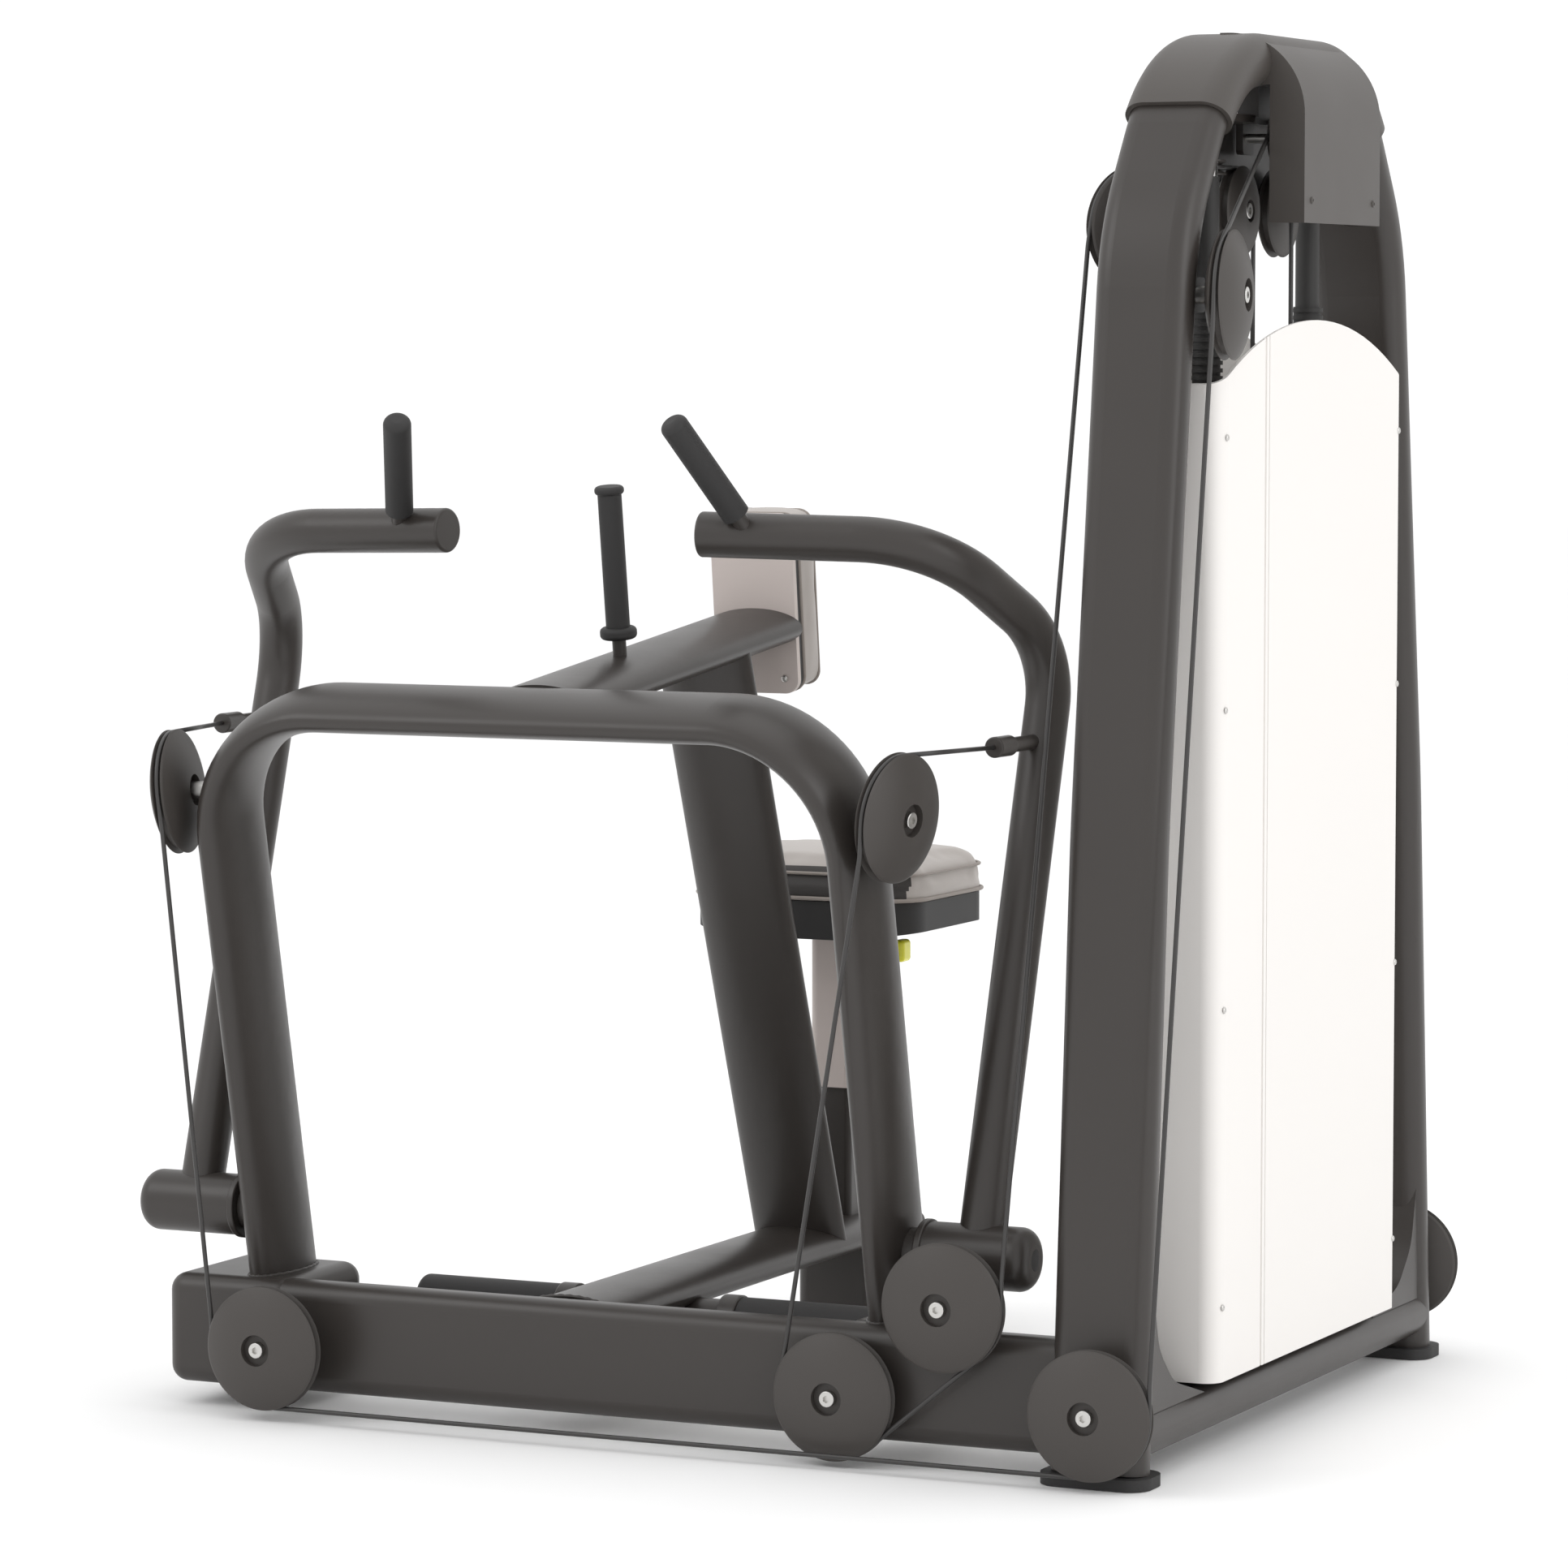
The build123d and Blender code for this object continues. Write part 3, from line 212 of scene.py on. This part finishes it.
def tube_mesh(name, points, radius, closed=False, sides=12, lump=0.0):
    """Round bead along a line of points, with an optional ripple in its thickness."""
    made = bmesh.new()
    count = len(points)
    rings = []
    last = None
    for i, point in enumerate(points):
        ahead = points[(i + 1) % count] if closed or i < count - 1 else point
        behind = points[i - 1] if closed or i else point
        along = (ahead - behind).normalized()
        side = along.orthogonal().normalized() if last is None else (
            last - along * last.dot(along)).normalized()
        last = side
        across = along.cross(side)
        grown = radius * (1 + lump * sin(i * 1.9))
        rings.append([made.verts.new(point + (side * cos(a) + across * sin(a)) * grown)
                      for a in (2 * pi * k / sides for k in range(sides))])
    spans = range(count) if closed else range(count - 1)
    for i in spans:
        first, second = rings[i], rings[(i + 1) % count]
        # A closed line's last ring may meet the first one turned, so the nearest start is used.
        offset = 0
        if closed and i == count - 1:
            offset = min(range(sides), key=lambda k: (second[k].co - first[0].co).length)
        for k in range(sides):
            made.faces.new((first[k], first[(k + 1) % sides],
                            second[(k + 1 + offset) % sides], second[(k + offset) % sides]))
    if not closed:
        made.faces.new(list(reversed(rings[0])))
        made.faces.new(rings[-1])
    bmesh.ops.recalc_face_normals(made, faces=made.faces)
    mesh = bpy.data.meshes.new(name)
    made.to_mesh(mesh)
    made.free()
    return mesh


def oval(middle, side, up, half_side, half_up, count=96, power=2.0):
    """Closed loop of points, an ellipse or a squarer superellipse."""
    loop = []
    for i in range(count):
        angle = 2 * pi * i / count
        c, s = cos(angle), sin(angle)
        u = abs(c) ** (2 / power) * (1 if c > 0 else -1)
        v = abs(s) ** (2 / power) * (1 if s > 0 else -1)
        loop.append(middle + side * (u * half_side) + up * (v * half_up))
    return loop


def lathe(name, profile, origin, axis, material, body, sides=40):
    """Turned piece from (radius, height) pairs along an axis."""
    made = bmesh.new()
    turn = Vector((0, 0, 1)).rotation_difference(Vector(axis)).to_matrix()
    rings = []
    for radius, height in profile:
        rings.append([made.verts.new(Vector(origin) + turn @ Vector(
            (radius * cos(2 * pi * k / sides), radius * sin(2 * pi * k / sides), height)))
            for k in range(sides)])
    for first, second in zip(rings, rings[1:]):
        for k in range(sides):
            made.faces.new((first[k], first[(k + 1) % sides], second[(k + 1) % sides],
                            second[k]))
    made.faces.new(list(reversed(rings[0])))
    made.faces.new(rings[-1])
    bmesh.ops.recalc_face_normals(made, faces=made.faces)
    mesh = bpy.data.meshes.new(name)
    made.to_mesh(mesh)
    made.free()
    piece = keep(name, mesh, material, body)
    edges = piece.modifiers.new("edges", "BEVEL")
    edges.width = 0.0004
    edges.segments = 2
    edges.limit_method = "ANGLE"
    return piece


def screw(name, point, axis, radius, body, material=None):
    """Button-head socket screw: domed head with a sunk drive."""
    r = radius
    profile = [(r * 1.0, 0.0), (r * 0.98, r * 0.2), (r * 0.82, r * 0.42), (r * 0.55, r * 0.55),
               (r * 0.42, r * 0.56), (r * 0.40, r * 0.30), (r * 0.02, r * 0.26)]
    return lathe(name, profile, point, axis, material or zinc, body, 24)


# ---- cushions ------------------------------------------------------------------------------
def stuffed(node, body, normal, swell, shrink, piping_at, shape):
    """Sewn cushion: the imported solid, drawn in, inflated as cloth by up to swell, then smoothed.

    normal points out of the cushion's face, and everything near its back stays where it is.
    shape holds two directions across the face and the cushion's half size along each.
    """
    source = nodes[node]
    mesh = source.data.copy()
    mesh.materials.clear()
    piece = bpy.data.objects.new(node + "_cover", mesh)
    link(piece)
    out = Vector(normal).normalized()
    heights = [v.co.dot(out) for v in mesh.vertices]
    low, high = min(heights), max(heights)
    middle = centre(node)
    for v in mesh.vertices:
        level = (v.co.dot(out) - low) / (high - low)
        side = v.co - middle
        side -= out * side.dot(out)
        v.co -= side * shrink
        v.co -= out * ((high - low) * 0.06 * level)
    remesh = piece.modifiers.new("remesh", "REMESH")
    remesh.mode = "VOXEL"
    remesh.voxel_size = 0.005
    piece = bake(piece)
    rest = [v.co.copy() for v in piece.data.vertices]
    held = piece.vertex_groups.new(name="held")
    held.add([i for i, co in enumerate(rest)
              if (co.dot(out) - low) / (high - low) < 0.16], 1.0, "REPLACE")
    cloth = piece.modifiers.new("cloth", "CLOTH")
    cloth.settings.use_pressure = True
    cloth.settings.uniform_pressure_force = 4.0
    cloth.settings.effector_weights.gravity = 0.0
    cloth.settings.vertex_group_mass = "held"
    cloth.settings.quality = 5
    cloth.settings.tension_stiffness = 12
    cloth.settings.compression_stiffness = 12
    for step in range(1, 21):
        bpy.context.scene.frame_set(step)
    piece = bake(piece)
    for v, start in zip(piece.data.vertices, rest):
        moved = v.co - start
        if moved.length > swell:
            v.co = start + moved.normalized() * swell
    bpy.context.scene.frame_set(1)
    soften = piece.modifiers.new("soften", "SMOOTH")
    soften.factor = 0.6
    soften.iterations = 6
    piece = bake(piece)
    for v in piece.data.vertices:
        level = (v.co.dot(out) - low) / (high - low)
        side = v.co - middle
        u, w = side.dot(Vector(shape[0])) / shape[2], side.dot(Vector(shape[1])) / shape[3]
        crown = max(0.0, 1 - abs(u) ** 2.6) * max(0.0, 1 - abs(w) ** 2.6)
        if level > 0.5:
            v.co += out * (swell * 0.5 * crown)
        pull = max(0.0, 1 - abs(level - piping_at) / 0.06)
        v.co -= side.normalized() * (0.0012 * pull)
    rounds = piece.modifiers.new("rounds", "SUBSURF")
    rounds.levels = 1
    rounds.render_levels = 1
    piece.data.materials.append(skin)
    piece.data.materials.append(painted_shade_skin)
    for face in piece.data.polygons:
        face.use_smooth = True
        # The seat's border towards the mast gets the darker copy of the upholstery, which is
        # painted shade on that side.
        if body == "seat" and face.normal.y < -0.62:
            face.material_index = 1
    piece.name = node + "_cover"
    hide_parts(node)
    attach(piece, body)
    return piece


def bake(piece):
    """The same piece with its modifiers applied."""
    shown = piece.evaluated_get(bpy.context.evaluated_depsgraph_get())
    mesh = bpy.data.meshes.new_from_object(shown)
    name = piece.name
    made = bpy.data.objects.new(name + "_", mesh)
    link(made)
    bpy.data.objects.remove(piece)
    return made


pad_out = Vector((0, cos(PAD_TILT), sin(PAD_TILT)))
pad_up = Vector((0, -sin(PAD_TILT), cos(PAD_TILT)))
across = Vector((1, 0, 0))
seat_low, seat_high = (Vector(v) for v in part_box("seat_cushion"))
seat_half = ((seat_high.x - seat_low.x) / 2, (seat_high.y - seat_low.y) / 2)

stuffed("seat_cushion", "seat", (0, 0, 1), 0.006, 0.012, 0.30,
        (across, Vector((0, 1, 0)), *seat_half))
stuffed("chest_pad_cushion", "frame", pad_out, 0.006, 0.03, 0.22,
        (across, pad_up, PAD_HALF_X, PAD_HALF_UP))


def rounded_loop(middle, side, up, half_side, half_up, radius, per_corner=14):
    """Rounded rectangle as a closed loop of points."""
    loop = []
    for sx, sy, start in ((1, 1, 0), (-1, 1, 90), (-1, -1, 180), (1, -1, 270)):
        corner = middle + side * (sx * (half_side - radius)) + up * (sy * (half_up - radius))
        for step in range(per_corner + 1):
            angle = radians(start + 90 * step / per_corner)
            loop.append(corner + (side * cos(angle) + up * sin(angle)) * radius)
    return loop


def piping(name, loop, radius, body):
    """Sewn cord along a cushion's seam."""
    keep(name, tube_mesh(name, loop, radius, closed=True, sides=10, lump=0.03), thread,
         body)


seat_mid = (seat_low + seat_high) / 2
piping("seat_piping_low", rounded_loop(Vector((seat_mid.x, seat_mid.y, seat_low.z + 0.003)),
                                       across, Vector((0, 1, 0)), seat_half[0] - 0.001,
                                       seat_half[1] - 0.001, 0.045), 0.0024, "seat")
piping("seat_piping_high", rounded_loop(Vector((seat_mid.x, seat_mid.y, seat_high.z - 0.016)),
                                        across, Vector((0, 1, 0)), seat_half[0] - 0.0035,
                                        seat_half[1] - 0.0035, 0.043), 0.0019, "seat")
pad_mid = centre("chest_pad_cushion")
piping("pad_piping_back", rounded_loop(pad_mid - pad_out * (PAD_DEEP / 2 - 0.004), across,
                                       pad_up, PAD_HALF_X - 0.002, PAD_HALF_UP - 0.003, 0.017),
       0.0022, "frame")
piping("pad_piping_front", rounded_loop(pad_mid + pad_out * (PAD_DEEP / 2 - 0.017), across,
                                        pad_up, PAD_HALF_X - 0.003, PAD_HALF_UP - 0.004, 0.016),
       0.0018, "frame")

# ---- cables that stretch between two bodies --------------------------------------------------
# Each arm cable has rings only at its ends, so it is one straight tube.
for side in ("left", "right"):
    end = nodes[f"{side}_cable_arm_end"]
    points = [v.co.copy() for v in end.data.vertices]
    pulley_end = min(points, key=lambda p: p.y)
    arm_end = max(points, key=lambda p: p.y)
    low_ring = [p for p in points if (p - pulley_end).length < 0.0075]
    high_ring = [p for p in points if (p - arm_end).length < 0.0075]
    start = sum(low_ring, Vector()) / len(low_ring)
    stop = sum(high_ring, Vector()) / len(high_ring)
    mesh = tube_mesh(f"{side}_cable_free", [start, stop], CABLE_RADIUS, sides=14)
    piece = keep(f"{side}_cable_free", mesh, cable_black, None)
    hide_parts(f"{side}_cable_arm_end")
    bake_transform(piece)
    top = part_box(f"{side}_cable_stack_end")[1]
    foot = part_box(f"{side}_cable_stack_end")[0]
    x, y = (top[0] + foot[0]) / 2, (top[1] + foot[1]) / 2
    line = [Vector((x, y, foot[2])).lerp(Vector((x, y, top[2])), i / 24) for i in range(25)]
    mesh = tube_mesh(f"{side}_cable_strand", line, CABLE_RADIUS, sides=14)
    piece = keep(f"{side}_cable_strand", mesh, cable_black, None)
    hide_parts(f"{side}_cable_stack_end")
    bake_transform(piece)

# ---- weld beads ----------------------------------------------------------------------------
hoop_foot_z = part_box("hoop_frame")[0][2]
for sign, name in ((-1, "left"), (1, "right")):
    foot = Vector((MID_X + sign * 0.370, BEAM_Y + 0.081, hoop_foot_z))
    bead = oval(foot, across, Vector((0, 1, 0)), 0.0225, 0.0625, 90)
    mesh = tube_mesh(f"{name}_hoop_weld", bead, WELD_RADIUS, closed=True, sides=8, lump=WELD_LUMP)
    keep(f"{name}_hoop_weld", mesh, weld_paint, "frame")
bead = oval(Vector((MID_X, BEAM_Y + 0.046, 0.121)), across, Vector((0, 0, 1)), 0.0595, 0.0225, 110)
mesh = tube_mesh("spine_weld", [p for p in bead if p.z < 0.1435], WELD_RADIUS, sides=8,
                 lump=WELD_LUMP)
keep("spine_weld", mesh, weld_paint, "frame")

# ---- fastenings ----------------------------------------------------------------------------
shroud_low, shroud_high = (Vector(v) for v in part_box("shroud_outer"))
for i, z in enumerate((0.16, 0.47, 0.78, 1.06)):
    for tag, y in (("front", shroud_low.y + 0.0165), ("rear", shroud_high.y - 0.0165)):
        screw(f"shroud_screw_{tag}_{i}", (shroud_high.x - 0.0002, y, z), (1, 0, 0), 0.0036,
              "frame")
cap_high = Vector(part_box("tower_cap")[1])
for i, y in enumerate((TOWER_Y - 0.095, TOWER_Y + 0.095)):
    screw(f"cap_screw_{i}", (cap_high.x - 0.0002, y, cap_high.z - 0.175), (1, 0, 0), 0.0038,
          "frame", cap_grey)
for side, sign in (("left", -1), ("right", 1)):
    hub_low, hub_high = (Vector(v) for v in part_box(f"{side}_arm_hub"))
    face = hub_high.x if sign > 0 else hub_low.x
    middle = (hub_low + hub_high) / 2
    lathe(f"{side}_hub_plug", [(0.0125, -0.0006), (0.0125, 0.0006), (0.0112, 0.0014),
                               (0.005, 0.0019), (0.0004, 0.0020)],
          (face - sign * 0.0012, middle.y, middle.z), (sign, 0, 0), black,
          f"{side}_arm")
pad_face = centre("chest_pad_cover") - pad_out * 0.0041
for i, (u, w) in enumerate(((-0.034, 0.085), (0.034, 0.085), (-0.034, -0.085), (0.034, -0.085))):
    screw(f"pad_screw_{i}", pad_face + across * u + pad_up * w, -pad_out, 0.0042, "frame")

# ---- stack details -------------------------------------------------------------------------
stack_low = Vector(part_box("resting_plates")[0])
for i in range(PLATE_COUNT):
    z = stack_low.z + 0.0123 + i * PLATE_PITCH
    lathe(f"plate_hole_{i}", [(0.0058, 0.0), (0.0058, 0.0008), (0.0046, 0.0012), (0.0044, 0.0004),
                              (0.0003, 0.0003)], (stack_low.x, TOWER_Y, z), (-1, 0, 0), iron,
          "frame", 20)

# ---- adjustment holes in the seat post: shallow black discs whose black is painted shade for the holes' insides ---
post_low, post_high = (Vector(v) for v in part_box("seat_post"))
for i in range(4):
    lathe(f"post_hole_{i}", [(0.0052, 0.0), (0.0052, 0.0006), (0.0042, 0.0010),
                             (0.0040, 0.0002), (0.0002, 0.0001)],
          (post_low.x, (post_low.y + post_high.y) / 2, post_low.z + 0.04 + i * POST_HOLE_PITCH),
          (-1, 0, 0), black, "frame", 20)

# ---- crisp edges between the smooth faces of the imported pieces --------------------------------
for name, node in nodes.items():
    if node.hide_render:
        continue
    for face in node.data.polygons:
        face.use_smooth = True
    crisp = node.modifiers.new("crisp", "EDGE_SPLIT")
    crisp.split_angle = radians(28)

# ---- floor, light and camera ----------------------------------------------------------------
floor_mesh = bpy.data.meshes.new("floor")
floor_mesh.from_pydata([(-30, -30, 0), (30, -30, 0), (30, 30, 0), (-30, 30, 0)], [],
                       [(0, 1, 2, 3)])
floor = bpy.data.objects.new("floor", floor_mesh)
floor.location.z = -0.0006
floor_mesh.materials.append(finish("floor_white", (0.95, 0.95, 0.95), 0.85, mottle=0.002,
                                   mottle_scale=1))
link(floor)

world = bpy.data.worlds.new("studio")
bpy.context.scene.world = world
world.use_nodes = True
world.node_tree.nodes["Background"].inputs["Color"].default_value = (1, 1, 1, 1)
world.node_tree.nodes["Background"].inputs["Strength"].default_value = 1.07


def softbox(name, place, aim, width, height, power):
    """Rectangular area light pointed at a spot."""
    data = bpy.data.lights.new(name, "AREA")
    data.shape = "RECTANGLE"
    data.size = width
    data.size_y = height
    data.energy = power
    lamp = bpy.data.objects.new(name, data)
    lamp.location = place
    lamp.rotation_euler = (Vector(aim) - Vector(place)).to_track_quat("-Z", "Y").to_euler()
    link(lamp)


softbox("key", (-3.2, -3.4, 4.2), (0, 0, 0.6), 2.6, 2.6, 45)
softbox("side", (4.6, -1.2, 2.6), (0.4, 0, 0.8), 1.8, 3.2, 38)
softbox("top", (0.2, 0.6, 5.0), (0, 0, 0), 4.0, 4.0, 22)

camera = bpy.data.objects.new("camera", bpy.data.cameras.new("camera"))
camera.location = (2.7913, -5.9862, 1.1611)
camera.rotation_euler = (radians(90 - 4.26), 0, radians(25.13))
camera.data.sensor_width = 36.0
camera.data.lens = 137.2
camera.data.clip_end = 200
link(camera)
bpy.context.scene.camera = camera
bpy.context.scene.view_settings.view_transform = "Standard"
